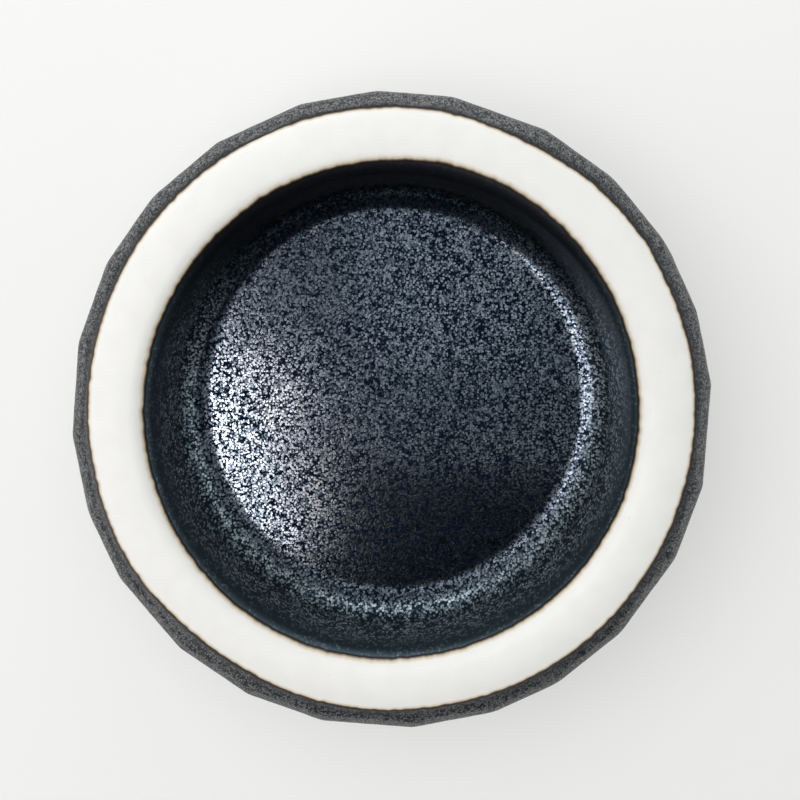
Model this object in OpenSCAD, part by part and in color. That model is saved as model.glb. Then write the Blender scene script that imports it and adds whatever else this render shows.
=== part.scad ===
// Soy sauce dish: a thick round dish of white stoneware with a steep-sided well.
// Its outside is cut by hand into shallow upright facets. A dark glaze lines the well, the outside and the
// recess under the foot, and leaves the top of the rim and the foot ring as bare clay.
// The frame's origin is the middle of the foot, on the table, with +Z up.

/* [Overall] */
// Width over the glaze at the widest place, across the facet corners
dish_w = 90; // [72:1:110]
// Height from the table to the top of the rim
dish_h = 30; // [24:0.5:38]

/* [Rim] */
// Width of the glazed shoulder outside the bare band, seen from above
shoulder_w = 3; // [2.2:0.1:3.8]
// Width of the bare clay band, seen from above
bare_w = 7.1; // [5:0.1:9]
// Width of the glazed lip inside the bare band, seen from above
lip_w = 1.2; // [0.8:0.1:2]
// Radius of the rim's nearly flat crown
crown_r = 16; // [12:1:40]
// Radius of the rim's outer shoulder
shoulder_r = 4.2; // [3.4:0.1:5]
// Radius of the rim's inner lip
lip_r = 3.2; // [2.4:0.1:4]

/* [Well] */
// Thickness of the clay floor, over the recess under the foot
floor_t = 6.1; // [4:0.1:10]
// How far the floor's flat part keeps inside the mouth
floor_inset = 5.7; // [5:0.1:12]
// Radius of the cove between the floor and the wall
cove_r = 4.6; // [2:0.1:5.2]

/* [Outside] */
// How far the belly is set in from the widest place
belly_inset = 2.3; // [1.6:0.1:4]
// Radius of the belly, where the wall turns under
belly_r = 9; // [6:0.5:11]

/* [Facets] */
// Number of facets cut round the wall
facet_count = 24; // [18:1:30]
// Depth of a usual facet at its middle
facet_depth = 0.38; // [0.2:0.02:0.5]
// Direction that the first facet faces, in degrees from +X
first_facet_turn = 10.2; // [0:0.1:15]
// How far the facets follow the shoulder up from the widest place, in degrees of its arc
facet_rise = 34; // [15:1:40]

/* [Foot] */
// Width of the flat underside between the belly and the foot's corner
under_w = 1; // [0.5:0.1:6]
// Height of the foot under the belly
foot_h = 4.4; // [3.4:0.1:5]
// Width of the foot ring
foot_ring_w = 4.4; // [3:0.1:8]
// Depth of the recess inside the foot ring
recess_depth = 3.4; // [2.6:0.1:5]
// Radius of the corner between the foot and the belly
ankle_r = 1.2; // [0.8:0.1:1.5]
// Radius of the corner inside the recess
recess_corner_r = 1; // [0.8:0.1:1.4]
// Radius of the foot ring's worn edges
foot_edge_r = 0.6; // [0.2:0.1:0.9]

/* [Glaze] */
// Thickness of the glaze
glaze_t = 0.45; // [0.3:0.05:0.6]
// Width of the thin amber margin in which the glaze runs out
margin_w = 0.6; // [0.3:0.1:0.8]
// Height of the bare clay on the outside of the foot
foot_bare_h = 1.9; // [1.6:0.1:2.6]
// Height of the bare clay on the inside of the foot
recess_bare_h = 1.5; // [1.2:0.1:1.8]

/* [Hidden] */

// Depth of each facet as a share of the usual depth, since they were cut by hand
facet_depth_shares = [0.8, 0.6, 0.7, 0.8, 1.4, 0.8, 0.8, 1.3, 1, 0.8, 0.9, 1.2,
    0.8, 0.6, 1.2, 1, 0.9, 1.2, 0.9, 0.5, 0.8, 1.2, 0.9, 1.6];
// How far each facet faces off its even place, as a share of the step between facets
facet_turn_shares = [0.08, -0.03, -0.05, -0.02, 0.01, 0.03, -0.02, -0.03, -0.03, -0.02, -0.01, 0.03,
    0.04, -0.03, -0.01, 0.02, 0, 0.02, 0.04, -0.01, -0.08, -0.05, -0.02, 0.04];

// Largest gap between a rounded outline and its straight steps
curve_gap = 0.015;
round_fn = 96;
full_turn = 360;
quarter = 90;

facet_step = full_turn / facet_count;
overrun = belly_r;

// Radii of the main circles, seen from above
wide_r = dish_w / 2 - glaze_t;
bare_out_r = dish_w / 2 - shoulder_w;
bare_in_r = bare_out_r - bare_w;
crest_r = (bare_out_r + bare_in_r) / 2;
mouth_r = bare_in_r - lip_w;
belly_x = wide_r - belly_inset - belly_r;
foot_out_r = belly_x - under_w - ankle_r;
foot_in_r = foot_out_r - foot_ring_w;

// The rim: a crown arc that runs into the shoulder's arc and the lip's arc
crown_c = [crest_r, dish_h - crown_r];
shoulder_turn = acos((wide_r - shoulder_r - crest_r) / (crown_r - shoulder_r));
shoulder_c = crown_c + (crown_r - shoulder_r) * [cos(shoulder_turn), sin(shoulder_turn)];
lip_turn = acos((mouth_r + lip_r - crest_r) / (crown_r - lip_r));
lip_c = crown_c + (crown_r - lip_r) * [cos(lip_turn), sin(lip_turn)];

// Where the glaze ends on the shoulder and on the lip, as the turn of each arc
shoulder_bare_turn = acos((bare_out_r - shoulder_c.x) / shoulder_r);
lip_bare_turn = acos((bare_in_r - lip_c.x) / lip_r);

// The well: a cove arc on the clay floor, and a straight wall that touches both the cove and the lip
clay_floor_z = recess_depth + floor_t;
cove_c = [mouth_r - floor_inset, clay_floor_z + cove_r];
well_reach = lip_c - cove_c;
well_lean = acos((cove_r + lip_r) / norm(well_reach)) - atan2(well_reach.y, well_reach.x);

// The outside: an upright curve that starts at the widest place and runs into the belly's arc, which comes
// down to the top of the foot
belly_c = [belly_x, foot_h + belly_r];
wall_fall = shoulder_c.y - belly_c.y;
wall_curve_r = (pow(belly_inset + belly_r, 2) + pow(wall_fall, 2) - pow(belly_r, 2)) / (2 * belly_inset);
wall_c = [wide_r - wall_curve_r, shoulder_c.y];
wall_turn = asin(wall_fall / (wall_curve_r - belly_r));

// How many straight steps an arc takes
function arc_steps(radius, turn) = ceil(abs(turn) / (2 * acos(1 - curve_gap / radius)));

// Points along an arc, from one turn to another
function arc(centre, radius, from, to) =
    let (steps = arc_steps(radius, to - from))
    [for (i = [0 : steps])
        let (turn = from + (to - from) * i / steps)
        centre + radius * [cos(turn), sin(turn)]];

// Corners of the straight lines that touch an arc from outside, from one turn to another
function outer_corners(centre, radius, from, to) =
    let (steps = arc_steps(radius, to - from), step = (to - from) / steps)
    [for (i = [0.5 : steps])
        centre + radius / cos(step / 2) * [cos(from + i * step), sin(from + i * step)]];

function reversed(points) = [for (i = [len(points) - 1 : -1 : 0]) points[i]];

// Each stretch of the dish's outline, with its surface moved out of the clay by grow
function recess_line(grow) = concat(
    [[0, recess_depth - grow]],
    arc([foot_in_r - recess_corner_r, recess_depth - recess_corner_r], recess_corner_r - grow, quarter, 0),
    [[foot_in_r - grow, recess_bare_h]]);

function foot_line() = concat(
    arc([foot_in_r + foot_edge_r, foot_edge_r], foot_edge_r, 2 * quarter, 3 * quarter),
    arc([foot_out_r - foot_edge_r, foot_edge_r], foot_edge_r, 3 * quarter, 4 * quarter));

function wall_line(grow) = concat(
    [[foot_out_r + grow, foot_bare_h]],
    arc([foot_out_r + ankle_r, foot_h - ankle_r], ankle_r - grow, 2 * quarter, quarter),
    arc(belly_c, belly_r + grow, -quarter, -wall_turn),
    arc(wall_c, wall_curve_r + grow, -wall_turn, 0),
    arc(shoulder_c, shoulder_r + grow, 0, shoulder_bare_turn));

function rim_line() = concat(
    arc(shoulder_c, shoulder_r, shoulder_bare_turn, shoulder_turn),
    arc(crown_c, crown_r, shoulder_turn, lip_turn),
    arc(lip_c, lip_r, lip_turn, lip_bare_turn));

function well_line(grow) = concat(
    arc(lip_c, lip_r + grow, lip_bare_turn, 2 * quarter - well_lean),
    arc(cove_c, cove_r - grow, -well_lean, -quarter),
    [[0, clay_floor_z + grow]]);

// One facet's cutter: all that lies outside a line which follows the shoulder and the wall at the facet's
// depth, and runs straight on past each end
module facet_cutter(depth, grow) {
    top_r = shoulder_r + grow - depth;
    cut_r = wall_curve_r + grow - depth;
    far_x = wide_r + overrun;
    high = shoulder_c + top_r * [cos(facet_rise), sin(facet_rise)] + overrun * [-sin(facet_rise), cos(facet_rise)];
    low = wall_c + cut_r * [cos(wall_turn), -sin(wall_turn)] - overrun * [sin(wall_turn), cos(wall_turn)];
    rotate([quarter, 0, 0])
        linear_extrude(height = 2 * facet_step / full_turn * PI * dish_w, center = true)
            polygon(concat([[far_x, high.y], high], outer_corners(shoulder_c, top_r, facet_rise, 0),
                outer_corners(wall_c, cut_r, 0, -wall_turn), [low, [far_x, low.y]]));
}

// Takes all the facets off a turned form
module cut_facets(grow) {
    difference() {
        children();
        for (i = [0 : facet_count - 1]) {
            depth_share = facet_depth_shares[i % len(facet_depth_shares)];
            turn_share = facet_turn_shares[i % len(facet_turn_shares)];
            rotate([0, 0, first_facet_turn + facet_step * (i + turn_share)])
                facet_cutter(facet_depth * depth_share, grow);
        }
    }
}

// A ring of revolution with the given section
module turned(section) {
    rotate_extrude($fn = round_fn) polygon(section);
}

// The faceted clay, with no colour
module clay_form() {
    cut_facets(0)
        turned(concat(recess_line(0), foot_line(), wall_line(0), rim_line(), well_line(0)));
}

// Fired white clay: the whole dish under its glaze, bare at the rim and at the foot ring
module clay_body() {
    color([0.93, 0.92, 0.89]) clay_form();
}

// Glaze that lines the well, from the lip down over the cove and the floor
module well_glaze() {
    color([0.1, 0.13, 0.17])
        turned(concat(well_line(glaze_t), reversed(well_line(0))));
}

// Glaze on the outside, from the shoulder over the facets and the belly to the foot
module wall_glaze() {
    under = 2 * max(facet_depth_shares) * facet_depth;
    color([0.15, 0.16, 0.18])
        difference() {
            cut_facets(glaze_t)
                turned(concat(wall_line(glaze_t), reversed(wall_line(-under))));
            clay_form();
        }
}

// Glaze in the recess under the dish
module foot_glaze() {
    color([0.12, 0.14, 0.17])
        turned(concat(recess_line(glaze_t), reversed(recess_line(0))));
}

// Amber margin on the lip: a feather edge that starts at the glaze's full thickness
module rim_inner_margin() {
    width_turn = margin_w / lip_r * full_turn / (2 * PI);
    color([0.55, 0.33, 0.15])
        turned(concat([arc(lip_c, lip_r + glaze_t, lip_bare_turn, 0)[0]],
            arc(lip_c, lip_r, lip_bare_turn, lip_bare_turn - width_turn)));
}

// Amber margin on the shoulder
module rim_outer_margin() {
    width_turn = margin_w / shoulder_r * full_turn / (2 * PI);
    color([0.55, 0.33, 0.15])
        turned(concat([arc(shoulder_c, shoulder_r + glaze_t, shoulder_bare_turn, 0)[0]],
            arc(shoulder_c, shoulder_r, shoulder_bare_turn, shoulder_bare_turn + width_turn)));
}

// Amber margin inside the foot ring
module foot_inner_margin() {
    color([0.55, 0.33, 0.15])
        turned([[foot_in_r - glaze_t, recess_bare_h], [foot_in_r, recess_bare_h],
            [foot_in_r, recess_bare_h - margin_w]]);
}

// Amber margin outside the foot ring
module foot_outer_margin() {
    color([0.55, 0.33, 0.15])
        turned([[foot_out_r + glaze_t, foot_bare_h], [foot_out_r, foot_bare_h],
            [foot_out_r, foot_bare_h - margin_w]]);
}

clay_body();
well_glaze();
wall_glaze();
foot_glaze();
rim_inner_margin();
rim_outer_margin();
foot_inner_margin();
foot_outer_margin();
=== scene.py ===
"""The looks of a soy sauce dish: white stoneware under a dark grained glaze, on a pale table."""

import math

import bpy
import numpy as np
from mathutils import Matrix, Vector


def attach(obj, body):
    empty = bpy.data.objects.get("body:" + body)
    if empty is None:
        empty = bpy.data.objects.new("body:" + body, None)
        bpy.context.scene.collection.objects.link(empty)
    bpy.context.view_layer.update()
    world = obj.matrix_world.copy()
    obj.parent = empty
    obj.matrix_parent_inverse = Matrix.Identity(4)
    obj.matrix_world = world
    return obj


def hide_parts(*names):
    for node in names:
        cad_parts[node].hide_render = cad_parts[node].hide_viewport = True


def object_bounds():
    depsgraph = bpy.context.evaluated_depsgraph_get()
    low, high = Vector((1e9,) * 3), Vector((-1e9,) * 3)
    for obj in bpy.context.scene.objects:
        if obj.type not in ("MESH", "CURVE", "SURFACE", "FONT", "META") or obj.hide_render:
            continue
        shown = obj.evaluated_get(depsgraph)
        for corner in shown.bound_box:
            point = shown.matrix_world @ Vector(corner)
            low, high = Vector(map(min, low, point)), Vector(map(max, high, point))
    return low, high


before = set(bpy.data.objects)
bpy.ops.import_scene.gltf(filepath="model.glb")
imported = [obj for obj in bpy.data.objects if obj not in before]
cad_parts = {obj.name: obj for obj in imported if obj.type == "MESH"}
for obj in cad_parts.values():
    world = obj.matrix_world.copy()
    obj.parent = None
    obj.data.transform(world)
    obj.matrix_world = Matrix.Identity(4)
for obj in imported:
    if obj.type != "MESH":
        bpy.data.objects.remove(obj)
cad_low, cad_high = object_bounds()

MM = 0.001
BODY = "root"

# Driving sizes of the dish, in millimetres, the same as those of its solids
DISH_W = 90.0
DISH_H = cad_high.z / MM
SHOULDER_W = 3.0
BARE_W = 7.1
LIP_W = 1.2
CROWN_R = 16.0
SHOULDER_R = 4.2
LIP_R = 3.2
FLOOR_T = 6.1
FLOOR_INSET = 5.7
COVE_R = 4.6
BELLY_INSET = 2.3
BELLY_R = 9.0
FACET_COUNT = 24
FACET_DEPTH = 0.38
FIRST_FACET_TURN = 10.2
FACET_RISE = 34.0
UNDER_W = 1.0
FOOT_H = 4.4
FOOT_RING_W = 4.4
RECESS_DEPTH = 3.4
ANKLE_R = 1.2
RECESS_CORNER_R = 1.0
FOOT_EDGE_R = 0.6
GLAZE_T = 0.45
FOOT_BARE_H = 1.9
RECESS_BARE_H = 1.5
FACET_DEPTH_SHARES = [
    0.8, 0.6, 0.7, 0.8, 1.4, 0.8, 0.8, 1.3, 1, 0.8, 0.9, 1.2,
    0.8, 0.6, 1.2, 1, 0.9, 1.2, 0.9, 0.5, 0.8, 1.2, 0.9, 1.6]
FACET_TURN_SHARES = [
    0.08, -0.03, -0.05, -0.02, 0.01, 0.03, -0.02, -0.03, -0.03, -0.02, -0.01, 0.03,
    0.04, -0.03, -0.01, 0.02, 0, 0.02, 0.04, -0.01, -0.08, -0.05, -0.02, 0.04]

# What only the looks need, in millimetres
TABLE_STEP = 0.03       # step of the outline's table
LIP_MARGIN_W = 1.2      # width of the thin amber film at the lip, from the dark glaze to bare clay
MARGIN_W = 0.7          # the same at the other edges
MARGIN_T = 0.05         # its thickness where it leaves the dark glaze
MARGIN_DIP_SHARE = 0.05  # how much of that its far end dips into the clay
OUTSIDE_SWELL = 0.8     # how fast the glaze reaches its full thickness, inwards from its edge
WELL_SWELL = 1.6        # the same in the well, where it ran out more slowly
SINK = 0.03             # how far the inner skin of a coat keeps inside the clay
KEEP_IN = 0.03          # how far the outermost surface keeps inside the solids
SLOW_SAG = 0.02         # the mean depth of its slow hollows
WALL_RIPPLE = 0.02      # the mean depth of the ripples in the outer coat
ARRIS_SOFT = 0.10       # softness between two facets
SHOULDER_SOFT = 0.10    # softness between a facet and the shoulder or the belly
UNDER_COAT = 1.0        # how far the close rows of the bare clay go on under a coat
RECESS_RIPEN = 6.0      # how many times sooner than down the well's wall the grains crowd under the foot

# Counts of the meshes
TURNS = 720             # steps round the dish
MARGIN_TURNS = 1440     # the same for the amber films, whose edges are finer
MARGIN_ROWS = 10
WELL_ROWS, WALL_ROWS, RECESS_ROWS = 90, 96, 40
CLAY_ROWS = [8, 26, 20, 44, 16]     # recess, foot, wall, rim and well
SKIN_EVERY = 3          # one row of a coat's hidden inner skin for so many rows of its outer one

NOWHERE = 1e3           # a distance in millimetres that is farther than any part of the dish
SAME_POINT = 1e-7       # metres between points that are one
SAME_CORNER = 1e-9      # millimetres between corners of the outline that are one


# The outline of the clay, from the axis under the foot out, up and over into the well


def arc(centre, radius, start, end):
    """Points along an arc between two turns, in degrees."""
    steps = max(2, math.ceil(abs(math.radians(end - start)) * radius / TABLE_STEP))
    turns = np.radians(np.linspace(start, end, steps + 1))
    return np.stack([centre[0] + radius * np.cos(turns), centre[1] + radius * np.sin(turns)], 1)


def angle_of(cosine):
    return math.degrees(math.acos(cosine))


def up_from(centre_z, radius, turn):
    """How high the point of an arc at a turn in degrees lies."""
    return centre_z + radius * math.sin(math.radians(turn))


wide_r = DISH_W / 2 - GLAZE_T
bare_out_r = DISH_W / 2 - SHOULDER_W
bare_in_r = bare_out_r - BARE_W
crest_r = (bare_out_r + bare_in_r) / 2
mouth_r = bare_in_r - LIP_W
belly_c = (wide_r - BELLY_INSET - BELLY_R, FOOT_H + BELLY_R)
foot_out_r = belly_c[0] - UNDER_W - ANKLE_R
foot_in_r = foot_out_r - FOOT_RING_W

crown_c = (crest_r, DISH_H - CROWN_R)
shoulder_turn = angle_of((wide_r - SHOULDER_R - crest_r) / (CROWN_R - SHOULDER_R))
shoulder_c = (wide_r - SHOULDER_R, up_from(crown_c[1], CROWN_R - SHOULDER_R, shoulder_turn))
lip_turn = angle_of((mouth_r + LIP_R - crest_r) / (CROWN_R - LIP_R))
lip_c = (mouth_r + LIP_R, up_from(crown_c[1], CROWN_R - LIP_R, lip_turn))
shoulder_bare_turn = angle_of((bare_out_r - shoulder_c[0]) / SHOULDER_R)
lip_bare_turn = angle_of((bare_in_r - lip_c[0]) / LIP_R)

clay_floor_z = RECESS_DEPTH + FLOOR_T
cove_c = (mouth_r - FLOOR_INSET, clay_floor_z + COVE_R)
well_reach = (lip_c[0] - cove_c[0], lip_c[1] - cove_c[1])
well_lean = (angle_of((COVE_R + LIP_R) / math.hypot(*well_reach))
             - math.degrees(math.atan2(well_reach[1], well_reach[0])))

wall_fall = shoulder_c[1] - belly_c[1]
wall_curve_r = ((BELLY_INSET + BELLY_R) ** 2 + wall_fall ** 2 - BELLY_R ** 2) / (2 * BELLY_INSET)
wall_c = (wide_r - wall_curve_r, shoulder_c[1])
wall_turn = math.degrees(math.asin(wall_fall / (wall_curve_r - BELLY_R)))

STRETCHES = {
    "recess": [
        [(0, RECESS_DEPTH)],
        arc((foot_in_r - RECESS_CORNER_R, RECESS_DEPTH - RECESS_CORNER_R), RECESS_CORNER_R, 90, 0),
        [(foot_in_r, RECESS_BARE_H)]],
    "foot": [
        arc((foot_in_r + FOOT_EDGE_R, FOOT_EDGE_R), FOOT_EDGE_R, 180, 270),
        arc((foot_out_r - FOOT_EDGE_R, FOOT_EDGE_R), FOOT_EDGE_R, 270, 360),
        [(foot_out_r, FOOT_BARE_H)]],
    "wall": [
        arc((foot_out_r + ANKLE_R, FOOT_H - ANKLE_R), ANKLE_R, 180, 90),
        arc(belly_c, BELLY_R, -90, -wall_turn),
        arc(wall_c, wall_curve_r, -wall_turn, 0),
        arc(shoulder_c, SHOULDER_R, 0, shoulder_bare_turn)],
    "rim": [
        arc(shoulder_c, SHOULDER_R, shoulder_bare_turn, shoulder_turn),
        arc(crown_c, CROWN_R, shoulder_turn, lip_turn),
        arc(lip_c, LIP_R, lip_turn, lip_bare_turn)],
    "well": [
        arc(lip_c, LIP_R, lip_bare_turn, 180 - well_lean),
        arc(cove_c, COVE_R, -well_lean, -90),
        [(0, clay_floor_z)]],
}


def outline_table():
    """The outline in even steps.

    Gives the distance along it, (radius, height), the outward normal, and where each stretch ends."""
    corners, ends = [], {}
    for name, runs in STRETCHES.items():
        corners += [np.asarray(run, float) for run in runs]
        ends[name] = sum(len(run) for run in corners) - 1
    points = np.concatenate(corners)
    step = np.hypot(*np.diff(points, axis=0).T)
    along = np.concatenate([[0], np.cumsum(step)])
    ends = {name: along[i] for name, i in ends.items()}
    keep = np.concatenate([[True], step > SAME_CORNER])
    points, along = points[keep], along[keep]
    even = np.arange(0, along[-1], TABLE_STEP)
    even[-1] = along[-1]
    table = np.stack([np.interp(even, along, points[:, i]) for i in (0, 1)], 1)
    run = np.gradient(table, even, axis=0)
    run /= np.hypot(*run.T)[:, None]
    return even, table, np.stack([run[:, 1], -run[:, 0]], 1), ends


ALONG, POINTS, NORMALS, ENDS = outline_table()
RECESS_EDGE = ENDS["recess"]
ANKLE_EDGE = ENDS["foot"]
SHOULDER_EDGE = ENDS["wall"]
LIP_EDGE = ENDS["rim"]
MIDDLE = ENDS["well"]


def on_outline(s):
    """(radius, height, normal's radius, normal's height) of the clay's outline at distances s."""
    values = (POINTS[:, 0], POINTS[:, 1], NORMALS[:, 0], NORMALS[:, 1])
    return [np.interp(s, ALONG, v) for v in values]


# What the hand left: facets, wandering glaze edges and slow unevenness


def soft_min(a, b, soft):
    """The smaller of two distances, with the corner between them rounded."""
    near = np.maximum(soft - np.abs(a - b), 0) / soft
    return np.minimum(a, b) - near * near * soft / 4


def arc_then_line(centre_x, radius, rise, end_turn):
    """How far out an arc lies at a rise above or below its middle, going straight on past its end."""
    end_rise = radius * math.sin(math.radians(end_turn))
    on_arc = np.sqrt(np.maximum(radius ** 2 - np.minimum(rise, end_rise) ** 2, 0))
    return centre_x + on_arc - np.maximum(rise - end_rise, 0) * math.tan(math.radians(end_turn))


def facet_radius(height, depth, grow):
    """How far out a facet's line stands at a height, as the solids' cutter has it."""
    rise = height - shoulder_c[1]
    above = arc_then_line(shoulder_c[0], SHOULDER_R + grow - depth, np.maximum(rise, 0), FACET_RISE)
    below = arc_then_line(wall_c[0], wall_curve_r + grow - depth, np.maximum(-rise, 0), wall_turn)
    return np.where(rise > 0, above, below)


def degrees_off(turn, facing):
    """How far each turn, in radians, lies from a direction in degrees, from -180 to 180."""
    return (np.degrees(turn) - facing + 180) % 360 - 180


def cut_facets(turn, radius, height, grow):
    """radius, held in behind the facets that face near each turn."""
    step = 360 / FACET_COUNT
    cut = np.full(np.broadcast(turn, radius).shape, NOWHERE)
    for i in range(FACET_COUNT):
        facing = FIRST_FACET_TURN + step * (i + FACET_TURN_SHARES[i])
        off = np.radians(degrees_off(turn, facing))
        line = facet_radius(height, FACET_DEPTH * FACET_DEPTH_SHARES[i], grow)
        plane = np.where(np.abs(off) < math.radians(2 * step), line / np.cos(off), NOWHERE)
        cut = soft_min(cut, plane, ARRIS_SOFT)
    return soft_min(radius, cut, SHOULDER_SOFT)


WAVE_PEAK = 1.4         # how high many waves add up, as a multiple of the root of their count


def waves(seed, longest, shortest, count):
    """A smooth random field of points, about -1 to 1, made of waves between two lengths."""
    rng = np.random.default_rng(seed)
    way = rng.normal(size=(count, 3))
    way /= np.linalg.norm(way, axis=1)[:, None]
    length = np.exp(rng.uniform(math.log(shortest), math.log(longest), count))
    k = way * (2 * math.pi / length)[:, None]
    phase = rng.uniform(0, 2 * math.pi, count)

    def field(x, y, z):
        total = np.zeros(np.broadcast(x, y, z).shape)
        for (kx, ky, kz), p in zip(k, phase):
            total += np.sin(kx * x + ky * y + kz * z + p)
        return total / math.sqrt(count) / WAVE_PEAK
    return field


def wipes(turn, marks):
    """The sum of soft marks round an edge, each as (direction, half width, size)."""
    total = np.zeros_like(turn)
    for facing, width, size in marks:
        total += size * np.exp(-(degrees_off(turn, facing) / width) ** 2)
    return total


EDGE_R = 40             # the radius of the circle along which every edge is read out of its waves
# Unevenness, as (longest wave, shortest wave, count of waves)
WANDER = (40, 8, 10)
NIBBLE = (2.4, 0.7, 14)
SLOW_HOLLOWS = (30, 9, 12)
GLAZE_RIPPLES = (5, 1.6, 24)


def edge_wave(turn, seed, slow, fine):
    """Unevenness of a glaze edge: slow wandering and fine nibbling, in millimetres."""
    x, y = EDGE_R * np.cos(turn), EDGE_R * np.sin(turn)
    z = np.zeros_like(x)
    return slow * waves(seed, *WANDER)(x, y, z) + fine * waves(seed + 1, *NIBBLE)(x, y, z)


# Where the sponge took more or less glaze off, as (direction and half width in degrees, outward shift)
SHOULDER_WIPES = [
    (65, 9, -0.50), (56, 3, -0.15), (236, 13, -0.48), (222, 6, -0.15), (204, 12, 0.20), (34, 3, 0.22),
    (12, 14, 0.10), (310, 22, 0.12), (280, 8, -0.08)]
LIP_WIPES = [
    (55, 17, 0.34), (78, 10, 0.20), (232, 22, 0.22), (117, 5, 0.14), (300, 26, 0.12), (0, 20, -0.22),
    (145, 22, -0.14), (338, 5, 0.08), (79, 30, 0.48), (259, 30, 0.48)]
WIPE_OFF = (-0.05, 0.65)        # how far the sponge's circle stood off the dish's middle
LIP_SPREAD = -0.75              # how much further in than on the solids the glaze stops all round the lip


def wipe_shift(turn):
    """How far out the sponge's circle puts an edge."""
    return WIPE_OFF[0] * np.cos(turn) + WIPE_OFF[1] * np.sin(turn)


# The edges' waves, as (seed, wandering, nibbling), in millimetres
SHOULDER_WAVE = (11, 0.05, 0.08)
LIP_WAVE = (21, 0.06, 0.10)
ANKLE_WAVE = (31, 0.12, 0.05)
RECESS_WAVE = (41, 0.12, 0.05)


def shoulder_edge(turn):
    out = wipes(turn, SHOULDER_WIPES) + wipe_shift(turn) + edge_wave(turn, *SHOULDER_WAVE)
    return SHOULDER_EDGE - out


def lip_edge(turn):
    out = LIP_SPREAD + wipes(turn, LIP_WIPES) + wipe_shift(turn) + edge_wave(turn, *LIP_WAVE)
    return LIP_EDGE - out


def ankle_edge(turn):
    return ANKLE_EDGE + edge_wave(turn, *ANKLE_WAVE)


def recess_edge(turn):
    return RECESS_EDGE - edge_wave(turn, *RECESS_WAVE)


def under_middle(turn):
    """The end of the recess's glaze, on the axis."""
    return np.zeros_like(turn)


def well_middle(turn):
    """The end of the well's glaze, on the axis."""
    return np.full_like(turn, MIDDLE)


HOLLOWS_SEED, RIPPLES_SEED = 51, 61
slow_waves = waves(HOLLOWS_SEED, *SLOW_HOLLOWS)
glaze_waves = waves(RIPPLES_SEED, *GLAZE_RIPPLES)

FLOOR_OFF = (0.10, -0.36)       # how far the well's floor stands off the dish's middle
FLOOR_OVAL = 0.34               # how far out of round it is, longer towards the picture's top and bottom
FLOOR_OFF_FROM, FLOOR_OFF_TO = 1.0, 15.0    # the stretch down from the lip over which it comes to that


def floor_shift(s):
    """The share of the floor's shift and oval form at distances s along the outline."""
    share = np.clip((s - LIP_EDGE - FLOOR_OFF_FROM) / (FLOOR_OFF_TO - FLOOR_OFF_FROM), 0, 1)
    return share * share * (3 - 2 * share)


def place(turn, s, lift, ripple=0.0):
    """Points of a surface that stands lift off the faceted clay at distances s along its outline.

    Only the outside sags into slow hollows and ripples, and only the well is shifted."""
    r, z, nr, nz = on_outline(s)
    r, z = r + nr * lift, z + nz * lift
    x, y = r * np.cos(turn), r * np.sin(turn)
    sag = KEEP_IN + SLOW_SAG * (1 + slow_waves(x, y, z)) + ripple * (1 + glaze_waves(x, y, z))
    out = np.clip(nr, 0, 1) * (r > foot_out_r)
    r = cut_facets(turn, r, z, lift) - sag * out
    shift = floor_shift(s)
    r = r - FLOOR_OVAL * shift * np.cos(2 * turn) * np.minimum(r / cove_c[0], 1)
    x, y = r * np.cos(turn) + FLOOR_OFF[0] * shift, r * np.sin(turn) + FLOOR_OFF[1] * shift
    return np.stack([x, y, z], -1) * MM


# Meshes


def grid_mesh(name, rings, loop_back, values=None):
    """A closed mesh from rings of points that go round the axis.

    rings is (rows, turns, 3), and a ring whose points coincide becomes one point. With loop_back the last
    row joins the first one, as in the section of a hollow ring. values has one number for each point, kept
    on the mesh under each name."""
    rows, turns = rings.shape[:2]
    on_axis = [np.ptp(ring[:, 0]) < SAME_POINT for ring in rings]
    first, points, source = [], [], []
    for i in range(rows):
        first.append(len(points))
        count = 1 if on_axis[i] else turns
        points += rings[i, :count].tolist()
        source += [(i, j) for j in range(count)]
    faces = []
    pairs = [(i, i + 1) for i in range(rows - 1)] + ([(rows - 1, 0)] if loop_back else [])
    for a, b in pairs:
        if on_axis[a] and on_axis[b]:
            continue
        for j in range(turns):
            k = (j + 1) % turns
            if on_axis[a]:
                faces.append((first[a], first[b] + k, first[b] + j))
            elif on_axis[b]:
                faces.append((first[a] + j, first[a] + k, first[b]))
            else:
                faces.append((first[a] + j, first[a] + k, first[b] + k, first[b] + j))
    mesh = bpy.data.meshes.new(name)
    mesh.from_pydata(points, [], faces)
    index = np.array(source)
    for key, value in (values or {}).items():
        layer = mesh.attributes.new(key, "FLOAT", "POINT")
        layer.data.foreach_set("value", value[index[:, 0], index[:, 1]].astype(np.float32))
    mesh.update()
    mesh.shade_smooth()
    obj = bpy.data.objects.new(name, mesh)
    bpy.context.scene.collection.objects.link(obj)
    return obj


def even_turns(count):
    return np.linspace(0, 2 * math.pi, count, endpoint=False)[None, :]


def spread(count, at_start, at_end):
    """Shares from 0 to 1 that crowd towards the start, the end or both."""
    t = np.linspace(0, 1, count)
    if at_start and at_end:
        return (1 - np.cos(math.pi * t)) / 2
    if at_start:
        return 1 - np.cos(math.pi / 2 * t)
    return np.sin(math.pi / 2 * t)


def clay_mesh():
    """The whole clay, as one turned form with its facets."""
    stops = [0, RECESS_EDGE - UNDER_COAT, ANKLE_EDGE + UNDER_COAT, SHOULDER_EDGE - 2 * UNDER_COAT,
             LIP_EDGE + UNDER_COAT, MIDDLE]
    runs = [np.linspace(a, b, n, endpoint=False) for a, b, n in zip(stops, stops[1:], CLAY_ROWS)]
    s = np.concatenate(runs + [[MIDDLE]])
    turn = even_turns(TURNS)
    rings = place(turn, np.broadcast_to(s[:, None], (len(s), TURNS)), 0)
    return grid_mesh("clay_form", rings, False)


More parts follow.
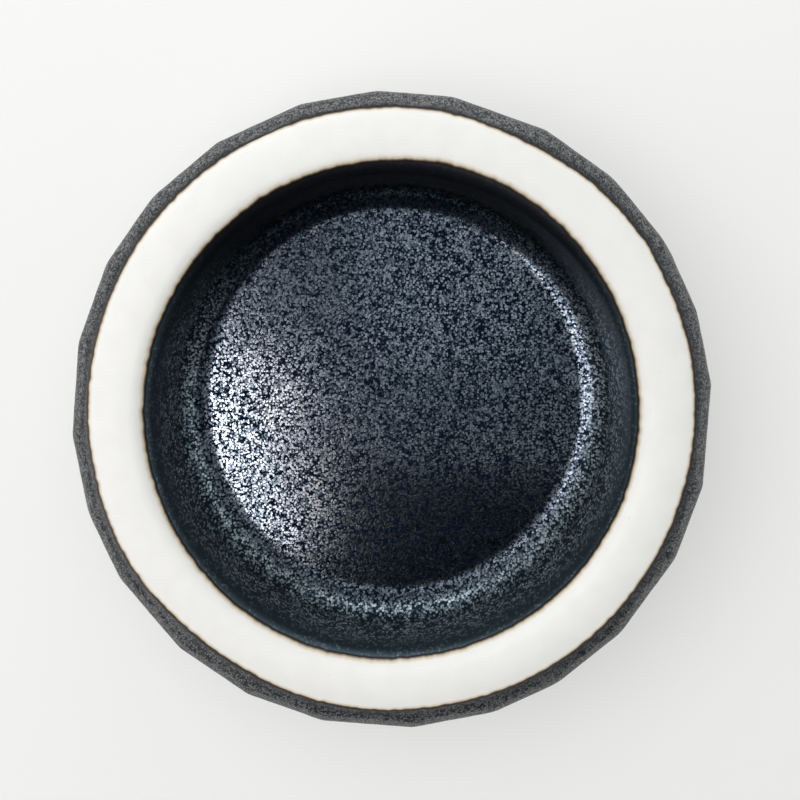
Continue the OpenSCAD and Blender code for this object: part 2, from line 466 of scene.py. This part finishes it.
def coat_mesh(name, start, end, bare_start, bare_end, rows, swell, ripple=0.0, ripen=1.0):
    """A coat of glaze between two edges, thin where it ends against bare clay.

    The mesh keeps each point's distance from the nearest bare edge, in millimetres times ripen, as
    edge_mm."""
    turn = even_turns(TURNS)
    a, b = start(turn), end(turn)
    share = spread(rows, bare_start, bare_end)[:, None]
    s = a + (b - a) * share
    reach = np.full(s.shape, NOWHERE)
    if bare_start:
        reach = np.minimum(reach, s - a)
    if bare_end:
        reach = np.minimum(reach, b - s)
    lift = MARGIN_T + (GLAZE_T - MARGIN_T) * (1 - np.exp(-reach / swell))
    skin = list(range(rows - 1, 0, -SKIN_EVERY)) + [0]
    rings = np.concatenate([place(turn, s, lift, ripple), place(turn, s[skin], -SINK)])
    return grid_mesh(name, rings, True, {"edge_mm": ripen * np.concatenate([reach, reach[skin]])})


def margin_mesh(name, edge, way, width):
    """A thin film that runs out from a glaze edge over the bare clay.

    way is its direction along the outline, 1 or -1. The mesh keeps how far each point lies from the glaze,
    from 0 to 1, as run_out."""
    turn = even_turns(MARGIN_TURNS)
    share = np.linspace(0, 1, MARGIN_ROWS)[:, None]
    s = edge(turn) + way * width * share
    lift = MARGIN_T * ((1 - share) ** 2 - MARGIN_DIP_SHARE)
    outer = place(turn, s, np.broadcast_to(lift, s.shape))
    inner = place(turn, s, -SINK)
    rings = np.concatenate([outer, inner[::-1]])
    run = np.broadcast_to(np.concatenate([share, share[::-1]]), rings.shape[:2])
    return grid_mesh(name, rings, True, {"run_out": run})


def fix_normals(obj):
    """Turns all the faces outwards."""
    bpy.context.view_layer.objects.active = obj
    obj.select_set(True)
    bpy.ops.object.mode_set(mode="EDIT")
    bpy.ops.mesh.select_all(action="SELECT")
    bpy.ops.mesh.normals_make_consistent(inside=False)
    bpy.ops.object.mode_set(mode="OBJECT")
    obj.select_set(False)


# Materials


class Nodes:
    """A material and short ways to add its nodes."""

    def __init__(self, name):
        self.material = bpy.data.materials.new(name)
        self.material.use_nodes = True
        self.tree = self.material.node_tree
        self.tree.nodes.clear()
        self.out = self.add("ShaderNodeOutputMaterial")
        self.shader = self.add("ShaderNodeBsdfPrincipled")
        self.link(self.shader.outputs[0], self.out.inputs["Surface"])
        self.place = self.add("ShaderNodeTexCoord").outputs["Object"]

    def add(self, kind, **settings):
        node = self.tree.nodes.new(kind)
        for key, value in settings.items():
            setattr(node, key, value)
        return node

    def link(self, a, b):
        self.tree.links.new(a, b)

    def put(self, socket, value):
        """Links value to a socket if it is one itself, or sets it."""
        if isinstance(value, bpy.types.NodeSocket):
            self.link(value, socket)
        else:
            socket.default_value = value

    def noise(self, size_mm, detail, rough=0.5, shift=0.0):
        """Noise from 0 to 1 whose features are about size_mm wide.

        shift moves it in metres, so that two noises differ."""
        node = self.add("ShaderNodeTexNoise")
        moved = self.add("ShaderNodeVectorMath", operation="ADD")
        self.link(self.place, moved.inputs[0])
        moved.inputs[1].default_value = (shift, 2 * shift, 3 * shift)
        self.link(moved.outputs[0], node.inputs["Vector"])
        node.inputs["Scale"].default_value = 1 / (size_mm * MM)
        node.inputs["Detail"].default_value = detail
        node.inputs["Roughness"].default_value = rough
        return node.outputs["Fac"]

    def swing(self, reach, size_mm, **settings):
        """Noise about zero, whose least and greatest values lie reach apart."""
        return self.math("MULTIPLY", self.math("SUBTRACT", self.noise(size_mm, **settings), 0.5), reach)

    def along(self, axis):
        """The place along X, Y or Z, in metres."""
        node = self.add("ShaderNodeSeparateXYZ")
        self.link(self.place, node.inputs[0])
        return node.outputs[axis]

    def attribute(self, name):
        return self.add("ShaderNodeAttribute", attribute_name=name).outputs["Fac"]

    def math(self, operation, a, b):
        node = self.add("ShaderNodeMath", operation=operation)
        for socket, value in zip(node.inputs, (a, b)):
            self.put(socket, value)
        return node.outputs[0]

    def between(self, value, low, high, to_low=0.0, to_high=1.0):
        """value, eased from to_low at low to to_high at high."""
        node = self.add("ShaderNodeMapRange", interpolation_type="SMOOTHSTEP")
        for socket, v in zip(node.inputs, (value, low, high, to_low, to_high)):
            self.put(socket, v)
        return node.outputs[0]

    def mix(self, share, a, b):
        """Colour a blended into colour b by share."""
        node = self.add("ShaderNodeMix", data_type="RGBA")
        self.put(node.inputs["Factor"], share)
        for socket, value in ((node.inputs[6], a), (node.inputs[7], b)):
            self.put(socket, (*value, 1.0) if isinstance(value, tuple) else value)
        return node.outputs[2]

    def ramp(self, value, stops):
        """Colours along a value, as (position, colour)."""
        node = self.add("ShaderNodeValToRGB")
        self.link(value, node.inputs[0])
        marks = node.color_ramp.elements
        while len(marks) < len(stops):
            marks.new(1)
        for mark, (position, colour) in zip(marks, stops):
            mark.position, mark.color = position, (*colour, 1.0)
        return node.outputs[0]

    def bump(self, height, distance_mm, normal=None):
        node = self.add("ShaderNodeBump")
        self.put(node.inputs["Height"], height)
        node.inputs["Distance"].default_value = distance_mm * MM
        if normal is not None:
            self.link(normal, node.inputs["Normal"])
        return node.outputs[0]

    def set(self, **values):
        """Puts values into the shader's sockets, named with underscores for spaces."""
        for name, value in values.items():
            self.put(self.shader.inputs[name.replace("_", " ")], value)


CLAY_WHITE = (0.865, 0.865, 0.84)
CLAY_SHADE = (0.845, 0.845, 0.815)
SPECK_BROWN = (0.42, 0.36, 0.28)
SPECK_SHARE = 0.5       # how strongly a speck colours the clay
SPECK_LIMITS = (0.80, 0.83)
SOFT_LIMITS = (0.35, 0.65)      # between these values of a noise one shade turns softly into another
CLAY_GRAIN_BUMP, CLAY_WAVE_BUMP = 0.010, 0.03


def clay_colour(n):
    """Bare clay: white with a faint mottling and a few tiny specks."""
    mottled = n.mix(n.between(n.noise(size_mm=3.2, detail=3), *SOFT_LIMITS), CLAY_WHITE, CLAY_SHADE)
    speck = n.between(n.noise(size_mm=0.5, detail=1, shift=3), *SPECK_LIMITS)
    return n.mix(n.math("MULTIPLY", speck, SPECK_SHARE), mottled, SPECK_BROWN)


def clay_bump(n):
    """The fired clay's fine grain and soft waves."""
    grain = n.bump(n.noise(size_mm=0.35, detail=3, rough=0.6), CLAY_GRAIN_BUMP)
    return n.bump(n.noise(size_mm=2.5, detail=2), CLAY_WAVE_BUMP, normal=grain)


def bare_clay():
    """The fired clay where no glaze covers it."""
    n = Nodes("bare_clay")
    rough = n.between(n.noise(size_mm=1.2, detail=2, shift=5), low=0.3, high=0.7, to_low=0.62, to_high=0.74)
    n.set(Base_Color=clay_colour(n), Normal=clay_bump(n), Roughness=rough)
    return n.material


EDGE_BLACK = (0.010, 0.008, 0.007)
# The colours of glaze that runs out, from the dark glaze at 0 to bare clay at 1
AMBER_STOPS = [
    (0.0, EDGE_BLACK),
    (0.12, (0.040, 0.027, 0.018)),
    (0.24, (0.25, 0.18, 0.11)),
    (0.38, (0.60, 0.53, 0.40)),
    (0.62, (0.77, 0.73, 0.64)),
    (0.95, CLAY_WHITE)]
AMBER_RAGGED, AMBER_SLOW = 0.30, 0.35       # how unevenly it runs out, finely and slowly
AMBER_END = (0.6, 1.0)                      # where its colour passes into the clay's own


def amber_margin():
    """Glaze that runs out: dark brown, amber, straw and then bare clay."""
    n = Nodes("amber_margin")
    run = n.attribute("run_out")
    ragged = n.swing(AMBER_RAGGED, size_mm=0.9, detail=3, rough=0.6)
    slow = n.swing(AMBER_SLOW, size_mm=6, detail=1, shift=9)
    fade = n.math("MULTIPLY", run, n.math("ADD", 1.0, n.math("ADD", ragged, slow)))
    shade = n.ramp(fade, AMBER_STOPS)
    n.set(Base_Color=n.mix(n.between(run, *AMBER_END), shade, clay_colour(n)),
          Normal=clay_bump(n),
          Roughness=n.between(run, low=0.0, high=0.5, to_low=0.34, to_high=0.66))
    return n.material


RUN_SHARE = 0.45        # a grain's width as a share of its height on a steep wall
CLUSTER_SIZE = 5        # how many grains wide their clusters are
CLUSTER_REACH = 1.0     # how much the cover swings between a cluster and a gap
PRESENT_SOFT = 0.12     # softness between grains that are there and those that aren't
RAGGED_SIZE_SHARE = 0.6     # size of the notches in a grain's edge, as a share of the grain's
RAGGED_REACH = 0.70     # how deep the notches are, in grain sizes
DISC_LIMITS = (0.46, 0.74)  # where a grain's disc begins to end and has ended, in grain sizes


def grains(n, size_mm, cover):
    """Round grains, crowded or sparse by cover, and drawn out downwards as the glaze ran.

    Gives 1 on a grain and 0 between grains, and a shade from 0 to 1 for each grain."""
    cells = n.add("ShaderNodeTexVoronoi", feature="F1")
    drawn = n.add("ShaderNodeVectorMath", operation="MULTIPLY")
    n.link(n.place, drawn.inputs[0])
    drawn.inputs[1].default_value = (1, 1, RUN_SHARE)
    n.link(drawn.outputs[0], cells.inputs["Vector"])
    cells.inputs["Scale"].default_value = 1 / (size_mm * MM)
    parts = n.add("ShaderNodeSeparateColor")
    n.link(cells.outputs["Color"], parts.inputs[0])
    crowd = n.math("ADD", cover, n.swing(CLUSTER_REACH, size_mm * CLUSTER_SIZE, detail=2, shift=7))
    missing = n.math("SUBTRACT", 1.0, crowd)
    least, most = n.math("SUBTRACT", missing, PRESENT_SOFT), n.math("ADD", missing, PRESENT_SOFT)
    present = n.between(parts.outputs[0], least, most)
    ragged = n.swing(RAGGED_REACH, size_mm * RAGGED_SIZE_SHARE, detail=1, shift=17)
    disc = n.between(n.math("ADD", cells.outputs["Distance"], ragged), *DISC_LIMITS, to_low=1.0, to_high=0.0)
    return n.math("MULTIPLY", present, disc), parts.outputs[1]


GROUND_BLUE = (0.0007, 0.0034, 0.0090)
WALL_TEAL = (0.014, 0.028, 0.038)
LIP_TEAL = (0.029, 0.047, 0.058)
FAR_WALL_PAINTED_SHADE = (0.006, 0.006, 0.009)       # painted shade: the far wall of the well drawn nearly black, as if unlit
GRAIN_DIM = (0.008, 0.015, 0.023)
GRAIN_BRIGHT = (0.120, 0.148, 0.181)
WALL_GRAIN_DIM = (0.100, 0.145, 0.178)
WALL_GRAIN_BRIGHT = (0.60, 0.72, 0.80)
WELL_GRAIN = 0.32       # size of a grain in millimetres
WELL_GRAIN_BUMP = 0.0018
LIP_COVER, WALL_COVER = 0.30, 0.56      # how crowded the grains are, from 0 to 1
FLOOR_COVER_MORE = 0.24                 # how much more so on the floor
SLOW_REACH = 0.35                       # how much that varies slowly

# Stretches down the well's glaze from its edge on the lip, in millimetres, over which its looks change
EDGE_LINE = (0.0, 0.3)          # the black line at its edge
LIP_CROWDING = (0.5, 5.0)       # the grains crowd
LIP_SHOWING = (0.3, 12.0)       # the grains come up through the glaze
LIP_TINT = (2.0, 14.0)          # the lip's teal gives way to the wall's
METAL_RISE = (1.5, 18.0)        # the glaze turns more metallic
COVE = (16.2, 20.6)             # the wall's colours give way to the floor's
COVE_POLISH = (16.5, 21.6)      # the grains grow smoother
PAINTED_SHADE_END = (18.0, 20.5)     # where the far wall's painted shade ends
FLOOR_START = (20.3, 23.0)      # the grains are smoothest from here on
PAINTED_SHADE_Y = (7 * MM, 25 * MM)  # how far back the painted shade on the far wall begins and is full
PAINTED_SHADE_SHARE = 0.14           # how much of the glaze's colour is left under the painted shade

GROUND_ROUGH = 0.52
WALL_ROUGH, COVE_ROUGH = 0.50, 0.24
FLOOR_POLISH = 0.155            # how much smoother than in the cove the grains are on the floor
LIP_METAL, FLOOR_METAL = 0.85, 0.97


def well_glaze():
    """Blue-black glaze with silvery grains, sparse at the lip, crowded and lustrous on the floor."""
    n = Nodes("well_glaze")
    edge = n.attribute("edge_mm")
    deep = n.between(edge, *COVE)
    slow = n.swing(SLOW_REACH, size_mm=9, detail=1, shift=13)
    cover = n.math("ADD", n.between(edge, *LIP_CROWDING, to_low=LIP_COVER, to_high=WALL_COVER), slow)
    cover = n.math("ADD", cover, n.math("MULTIPLY", deep, FLOOR_COVER_MORE))
    grain, shade = grains(n, WELL_GRAIN, cover)
    shown = n.math("MULTIPLY", grain, n.between(edge, *LIP_SHOWING, to_low=0.12, to_high=1.0))

    dim = n.mix(deep, WALL_GRAIN_DIM, GRAIN_DIM)
    bright = n.mix(deep, WALL_GRAIN_BRIGHT, GRAIN_BRIGHT)
    ground = n.mix(n.between(edge, *LIP_TINT), LIP_TEAL, n.mix(deep, WALL_TEAL, GROUND_BLUE))
    coat = n.mix(shown, ground, n.mix(shade, dim, bright))
    # Painted shade: the well's wall towards +Y is drawn darker the further back it lies, down to the cove
    far = n.between(n.along("Y"), *PAINTED_SHADE_Y, to_low=1.0, to_high=PAINTED_SHADE_SHARE)
    coat = n.mix(n.between(edge, *PAINTED_SHADE_END, to_low=far, to_high=1.0), FAR_WALL_PAINTED_SHADE, coat)

    polish = n.math("MULTIPLY", n.between(edge, *FLOOR_START), FLOOR_POLISH)
    rough = n.math("SUBTRACT", n.between(edge, *COVE_POLISH, to_low=WALL_ROUGH, to_high=COVE_ROUGH), polish)
    n.set(Base_Color=n.mix(n.between(edge, *EDGE_LINE), EDGE_BLACK, coat),
          Metallic=n.between(edge, *METAL_RISE, to_low=LIP_METAL, to_high=FLOOR_METAL),
          Roughness=n.between(shown, low=0.0, high=0.4, to_low=GROUND_ROUGH, to_high=rough),
          Normal=n.bump(grain, WELL_GRAIN_BUMP))
    return n.material


OUTSIDE_GROUND = (0.012, 0.016, 0.020)
OUTSIDE_GRAIN_DIM = (0.080, 0.087, 0.091)
OUTSIDE_GRAIN_BRIGHT = (0.235, 0.241, 0.241)
OUTSIDE_GRAIN = 0.24            # size of a grain in millimetres
OUTSIDE_GRAIN_BUMP = 0.010
OUTSIDE_COVER = 0.74
OUTSIDE_SHOWING = (0.2, 1.6)    # over this distance from the edge the grains come up
OUTSIDE_EDGE_LINE = (0.0, 0.35)


def wall_glaze():
    """Charcoal glaze on the outside, matt, with a fine grain."""
    n = Nodes("wall_glaze")
    edge = n.attribute("edge_mm")
    grain, shade = grains(n, OUTSIDE_GRAIN, OUTSIDE_COVER)
    shown = n.math("MULTIPLY", grain, n.between(edge, *OUTSIDE_SHOWING, to_low=0.3, to_high=1.0))
    coat = n.mix(shown, OUTSIDE_GROUND, n.mix(shade, OUTSIDE_GRAIN_DIM, OUTSIDE_GRAIN_BRIGHT))
    n.set(Base_Color=n.mix(n.between(edge, *OUTSIDE_EDGE_LINE), EDGE_BLACK, coat),
          Roughness=0.42,
          Specular_IOR_Level=0.26,
          Normal=n.bump(grain, OUTSIDE_GRAIN_BUMP))
    return n.material


# The pieces

well_dark = well_glaze()
amber = amber_margin()

clay_form = clay_mesh()
well_coat = coat_mesh(
    "well_coat", lip_edge, well_middle, bare_start=True, bare_end=False,
    rows=WELL_ROWS, swell=WELL_SWELL)
wall_coat = coat_mesh(
    "wall_coat", ankle_edge, shoulder_edge, bare_start=True, bare_end=True,
    rows=WALL_ROWS, swell=OUTSIDE_SWELL, ripple=WALL_RIPPLE)
recess_coat = coat_mesh(
    "recess_coat", under_middle, recess_edge, bare_start=False, bare_end=True,
    rows=RECESS_ROWS, swell=OUTSIDE_SWELL, ripen=RECESS_RIPEN)

# Each mesh with its material, the solid that it replaces and the slot of its material
pieces = [
    (clay_form, bare_clay(), "clay_body", "bare_clay"),
    (well_coat, well_dark, "well_glaze", "dark_glaze"),
    (wall_coat, wall_glaze(), "wall_glaze", "matt_dark_glaze"),
    (recess_coat, well_dark, "foot_glaze", "dark_glaze")]
for name, edge, way, width, node in (
        ("lip_edge_film", lip_edge, -1, LIP_MARGIN_W, "rim_inner_margin"),
        ("shoulder_edge_film", shoulder_edge, 1, MARGIN_W, "rim_outer_margin"),
        ("recess_edge_film", recess_edge, 1, MARGIN_W, "foot_inner_margin"),
        ("ankle_edge_film", ankle_edge, -1, MARGIN_W, "foot_outer_margin")):
    pieces.append((margin_mesh(name, edge, way, width), amber, node, "amber_margin"))

for obj, material, node, slot in pieces:
    fix_normals(obj)
    obj.data.materials.append(material)
    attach(obj, BODY)
    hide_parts(node)


# The table, the light and the camera, in metres

PAPER = (0.97, 0.97, 0.955)     # the pale ground as it is seen
TABLE_WHITE = (0.93, 0.93, 0.915)
TABLE_SHADE = (0.915, 0.915, 0.90)
TABLE_MOTTLE = 120              # size of its faint mottling in millimetres
TABLE_HALF = 3.0                # half the table's side
SEEN_SHARE = 0.45               # how much of the near table's look is plain paper, which softens the shadow
PAPER_FROM, PAPER_TO = 0.15, 0.70   # between these distances the table's look turns into plain paper
ROOM = (0.41, 0.42, 0.43)       # even light from all round


def seen_rays(tree):
    """1 on rays that show the surroundings, straight or mirrored, and 0 on rays that light a surface."""
    path = tree.nodes.new("ShaderNodeLightPath")
    total = path.outputs["Is Camera Ray"]
    for name in ("Is Glossy Ray", "Is Transmission Ray"):
        add = tree.nodes.new("ShaderNodeMath")
        add.operation, add.use_clamp = "ADD", True
        tree.links.new(total, add.inputs[0])
        tree.links.new(path.outputs[name], add.inputs[1])
        total = add.outputs[0]
    return total


def table_top():
    """A pale plain table top, wide enough for any view."""
    mesh = bpy.data.meshes.new("table_top")
    far = TABLE_HALF
    mesh.from_pydata([(-far, -far, 0), (far, -far, 0), (far, far, 0), (-far, far, 0)], [], [(0, 1, 2, 3)])
    obj = bpy.data.objects.new("table_top", mesh)
    bpy.context.scene.collection.objects.link(obj)
    n = Nodes("table_paint")
    mottle = n.between(n.noise(TABLE_MOTTLE, detail=2), *SOFT_LIMITS)
    n.set(Base_Color=n.mix(mottle, TABLE_WHITE, TABLE_SHADE), Roughness=0.75, Specular_IOR_Level=0.2)
    paper = n.add("ShaderNodeEmission")
    paper.inputs["Color"].default_value = (*PAPER, 1)
    mix = n.add("ShaderNodeMixShader")
    length = n.add("ShaderNodeVectorMath", operation="LENGTH")
    n.link(n.place, length.inputs[0])
    share = n.between(length.outputs["Value"], PAPER_FROM, PAPER_TO, to_low=SEEN_SHARE, to_high=1.0)
    n.link(n.math("MULTIPLY", seen_rays(n.tree), share), mix.inputs[0])
    n.link(n.shader.outputs[0], mix.inputs[1])
    n.link(paper.outputs[0], mix.inputs[2])
    n.link(mix.outputs[0], n.out.inputs["Surface"])
    obj.data.materials.append(n.material)


def aim(obj, at):
    """Puts an object at a place and turns its face to the dish."""
    obj.location = at
    obj.rotation_mode = "QUATERNION"
    obj.rotation_quaternion = (-obj.location).to_track_quat("-Z", "Y")
    bpy.context.scene.collection.objects.link(obj)


# The lamps, as (name, place, size, radiance, colour, what it does).
# One that only lights isn't mirrored in the glaze, and one that only gleams is seen nowhere but mirrored.
LAMPS = [
    ("window", (-0.36, -0.05, 0.40), (0.66, 0.36), 0.80, (1.0, 0.98, 0.96), "only lights"),
    ("window_gleam", (-0.228, -0.100, 0.456), (0.20, 0.36), 10.0, (1.0, 0.91, 0.88), "only gleams"),
    ("back_window", (-0.06, 0.45, 0.17), (0.66, 0.20), 1.0, (1.0, 1.0, 1.0), "lights and gleams"),
    ("back_gleam", (-0.04, 0.45, 0.13), (0.46, 0.26), 3.3, (1.0, 0.97, 1.0), "only gleams"),
    ("right_gleam", (0.42, 0.10, 0.26), (0.40, 0.26), 1.0, (1.0, 1.0, 1.0), "only gleams"),
    ("overhead", (-0.10, 0.09, 0.52), (0.45, 0.45), 2.45, (1.0, 1.0, 1.0), "only lights"),
    ("ceiling_lamp", (-0.212, -0.272, 2.0), (0.11, 0.16), 13.5, (1.0, 0.80, 0.69), "lights and gleams"),
    ("ceiling_lamp_end", (-0.135, -0.375, 2.0), (0.09, 0.11), 4.8, (1.0, 0.72, 0.56), "lights and gleams"),
    ("ceiling_glow", (-0.215, -0.27, 2.02), (0.21, 0.26), 0.55, (1.0, 0.88, 0.78), "lights and gleams"),
    ("ceiling_far", (0.06, 0.00, 2.05), (0.42, 0.22), 1.05, (1.0, 1.0, 1.0), "lights and gleams")]


def panel(name, at, size, radiance, colour, does):
    """A soft lamp that faces the dish."""
    light = bpy.data.lights.new(name, "AREA")
    light.shape = "RECTANGLE"
    light.size, light.size_y = size
    light.energy = radiance * math.pi * size[0] * size[1]
    light.color = colour
    obj = bpy.data.objects.new(name, light)
    obj.visible_glossy = does != "only lights"
    obj.visible_diffuse = does != "only gleams"
    obj.visible_camera = False
    aim(obj, at)


# Black cards on the picture's near side, which the glaze mirrors, each between two opposite corners
CARD_Z = 0.6
CARD_Y = -0.32
DARK_CARDS = [
    ("near_ceiling", (-0.032, -0.107, CARD_Z), (0.4, -0.5, CARD_Z)),
    ("near_ceiling_left", (-0.5, -0.15, CARD_Z), (-0.032, -0.5, CARD_Z)),
    ("near_wall", (-0.6, CARD_Y, 0.115), (0.6, CARD_Y, 0.50)),
    ("near_foot", (-0.6, CARD_Y, 0.0), (0.6, CARD_Y, 0.11))]
CARD_BLACK = (0.01, 0.01, 0.01)


def dark_card(name, first, last):
    """A black card that the camera looks past."""
    (x0, y0, z0), (x1, y1, z1) = first, last
    mesh = bpy.data.meshes.new(name)
    mesh.from_pydata([(x0, y0, z0), (x1, y0, z0), (x1, y1, z1), (x0, y1, z1)], [], [(0, 1, 2, 3)])
    n = Nodes(name)
    n.set(Base_Color=(*CARD_BLACK, 1.0), Roughness=1.0)
    mesh.materials.append(n.material)
    obj = bpy.data.objects.new(name, mesh)
    bpy.context.scene.collection.objects.link(obj)
    obj.visible_camera = False


def surroundings():
    """Plain pale paper where it is seen and an even room where it lights the dish."""
    world = bpy.data.worlds.new("studio")
    bpy.context.scene.world = world
    world.use_nodes = True
    tree = world.node_tree
    tree.nodes.clear()
    out = tree.nodes.new("ShaderNodeOutputWorld")
    mix = tree.nodes.new("ShaderNodeMixShader")
    room = tree.nodes.new("ShaderNodeBackground")
    paper = tree.nodes.new("ShaderNodeBackground")
    room.inputs["Color"].default_value = (*ROOM, 1)
    paper.inputs["Color"].default_value = (*PAPER, 1)
    tree.links.new(seen_rays(tree), mix.inputs[0])
    tree.links.new(room.outputs[0], mix.inputs[1])
    tree.links.new(paper.outputs[0], mix.inputs[2])
    tree.links.new(mix.outputs[0], out.inputs["Surface"])


# Pixels of the 800 x 800 picture, for the camera only
PICTURE_PX = 800
FOCAL_PX = 1800
SHIFT_UP_PX = 113.2
SENSOR_MM = 36
CAMERA_TILT = 3.5                   # degrees
CAMERA_AT = (1.13, 33.0, 276.9)     # millimetres
CAMERA_CLIP = (0.01, 10)


def camera():
    """The camera above the dish, where the photograph's stood."""
    data = bpy.data.cameras.new("camera")
    data.sensor_width = SENSOR_MM
    data.lens = FOCAL_PX * SENSOR_MM / PICTURE_PX
    data.shift_y = -SHIFT_UP_PX / PICTURE_PX
    data.clip_start, data.clip_end = CAMERA_CLIP
    obj = bpy.data.objects.new("camera", data)
    obj.location = [v * MM for v in CAMERA_AT]
    obj.rotation_euler = (-math.radians(CAMERA_TILT), 0, 0)
    bpy.context.scene.collection.objects.link(obj)
    bpy.context.scene.camera = obj


table_top()
surroundings()
for lamp in LAMPS:
    panel(*lamp)
for card in DARK_CARDS:
    dark_card(*card)
camera()
bpy.context.scene.view_settings.view_transform = "Standard"
